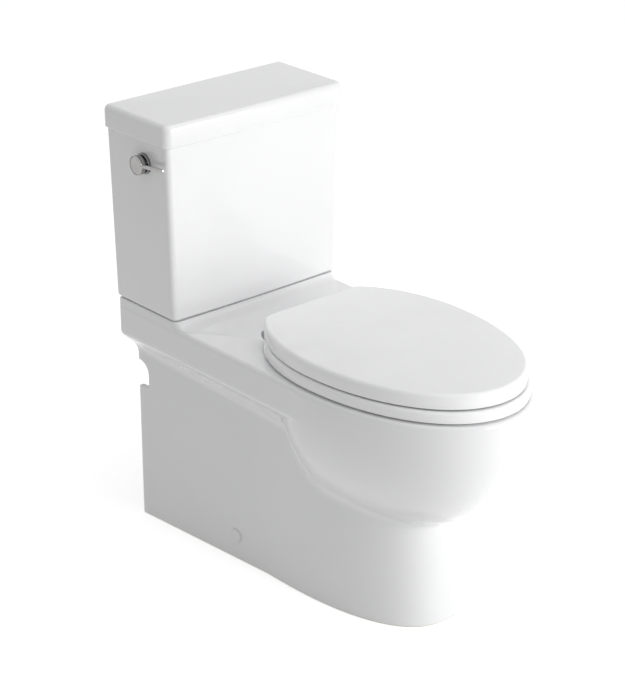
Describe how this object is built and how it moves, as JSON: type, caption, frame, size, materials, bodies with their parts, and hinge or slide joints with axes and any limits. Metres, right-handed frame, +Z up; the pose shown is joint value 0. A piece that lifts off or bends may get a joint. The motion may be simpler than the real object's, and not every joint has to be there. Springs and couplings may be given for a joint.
{
  "type": "back-outlet toilet",
  "caption": "Close-coupled two-piece toilet with an elongated skirted bowl, a rear outlet, a lidded tank with a side trip lever, and a hinged seat and lid.",
  "frame": {"origin": "on the floor, on the centre line, under the cross wall of the bowl's foot", "axes": "+Z is up, -Y is the front of the bowl, +Y is the back where the outlet leaves, +X is the right side of someone who looks at the front"},
  "size_m": [0.4011, 0.788, 0.7932],
  "materials": {
    "china": "white vitreous glaze, high gloss",
    "seat_plastic": "white, glossy",
    "cap_plastic": "white, satin",
    "bumper": "off-white, matte",
    "hinge_plastic": "white, satin",
    "pin_grey": "dark grey, satin",
    "chrome": "polished",
    "steel": "satin",
    "brass": "plain",
    "nylon": "natural, moulded",
    "valve_plastic": "black, moulded",
    "float_plastic": "pale grey, moulded",
    "seal_rubber": "black, matte",
    "flapper_rubber": "dull red, matte",
    "strap_rubber": "dark grey, matte",
    "refill_rubber": "black, satin"
  },
  "bodies": {
    "toilet": {"bowl": "china", "tank": "china", "hinge_post_left": "hinge_plastic", "hinge_post_right": "hinge_plastic", "hinge_pin_left": "pin_grey", "hinge_pin_right": "pin_grey", "hinge_bolt_left": "nylon", "hinge_bolt_right": "nylon", "hinge_washer_left": "seal_rubber", "hinge_washer_right": "seal_rubber", "hinge_nut_left": "nylon", "hinge_nut_right": "nylon", "lever_escutcheon": "steel", "lever_nut": "nylon", "flush_valve_body": "valve_plastic", "flush_valve_washer": "seal_rubber", "flush_valve_nut": "valve_plastic", "tank_gasket": "seal_rubber", "fill_valve_body": "float_plastic", "fill_valve_cap": "valve_plastic", "fill_valve_washer": "seal_rubber", "fill_valve_nut": "nylon", "refill_tube": "refill_rubber", "refill_clip": "nylon", "tank_bolt_left": "brass", "tank_bolt_right": "brass", "tank_bolt_seal_left": "seal_rubber", "tank_bolt_seal_right": "seal_rubber", "tank_bolt_washer_left": "brass", "tank_bolt_washer_right": "brass", "tank_bolt_nut_left": "brass", "tank_bolt_nut_right": "brass", "floor_cap_left": "cap_plastic", "floor_cap_right": "cap_plastic", "skirt_screw_left": "steel", "skirt_screw_right": "steel", "floor_bracket_left": "nylon", "floor_bracket_right": "nylon", "bracket_screw_left": "steel", "bracket_screw_right": "steel"},
    "seat_ring": {"seat_ring": "seat_plastic", "ring_bumper_1": "bumper", "ring_bumper_2": "bumper", "ring_bumper_3": "bumper", "ring_bumper_4": "bumper"},
    "seat_lid": {"seat_lid": "seat_plastic", "lid_bumper_1": "bumper", "lid_bumper_2": "bumper", "lid_bumper_3": "bumper", "lid_bumper_4": "bumper"},
    "trip_lever": {"lever_handle": "chrome", "lever_arm": "steel"},
    "strap": {"flapper_strap": "strap_rubber"},
    "flapper": {"flapper": "flapper_rubber"},
    "float": {"fill_valve_float": "float_plastic", "float_rod": "steel"},
    "float_arm": {"float_arm": "valve_plastic"},
    "tank_lid": {"tank_lid": "china"}
  },
  "joints": [
    {"name": "seat_ring_hinge", "type": "hinge", "parent": "toilet", "child": "seat_ring", "pos_m": [0, -0.158, 0.4395], "axis": [-1, 0, 0], "range_deg": [0, 100]},
    {"name": "seat_lid_hinge", "type": "hinge", "parent": "seat_ring", "child": "seat_lid", "pos_m": [0, -0.158, 0.4395], "axis": [1, 0, 0], "range_deg": [-104, 0]},
    {"name": "trip_lever", "type": "hinge", "parent": "toilet", "child": "trip_lever", "pos_m": [-0.188, 0.048, 0.7129], "axis": [1, 0, 0], "range_deg": [0, 30]},
    {"name": "strap_link", "type": "hinge", "parent": "trip_lever", "child": "strap", "pos_m": [-0.004, 0.084, 0.7129], "axis": [1, 0, 0], "range_deg": [-29, 0]},
    {"name": "flapper_hinge", "type": "hinge", "parent": "toilet", "child": "flapper", "pos_m": [0.04, 0.08, 0.4704], "axis": [0, 1, 0], "range_deg": [0, 22.2]},
    {"name": "float_slide", "type": "slide", "parent": "toilet", "child": "float", "axis": [0, 0, 1], "range_m": [0, 0.024]},
    {"name": "float_arm_pivot", "type": "hinge", "parent": "toilet", "child": "float_arm", "pos_m": [-0.136, 0.104, 0.7092], "axis": [-1, 0, 0], "range_deg": [0, 44.3]},
    {"name": "tank_lid_lift", "type": "slide", "parent": "toilet", "child": "tank_lid", "axis": [0, 0, 1], "range_m": [0, 0.12]}
  ],
  "couplings": [
    {"joint": "strap_link", "follows": "trip_lever", "ratio": -0.966},
    {"joint": "flapper_hinge", "follows": "trip_lever", "ratio": 0.735},
    {"joint": "float_arm_pivot", "follows": "float_slide", "rad_per_m": 32.18}
  ]
}
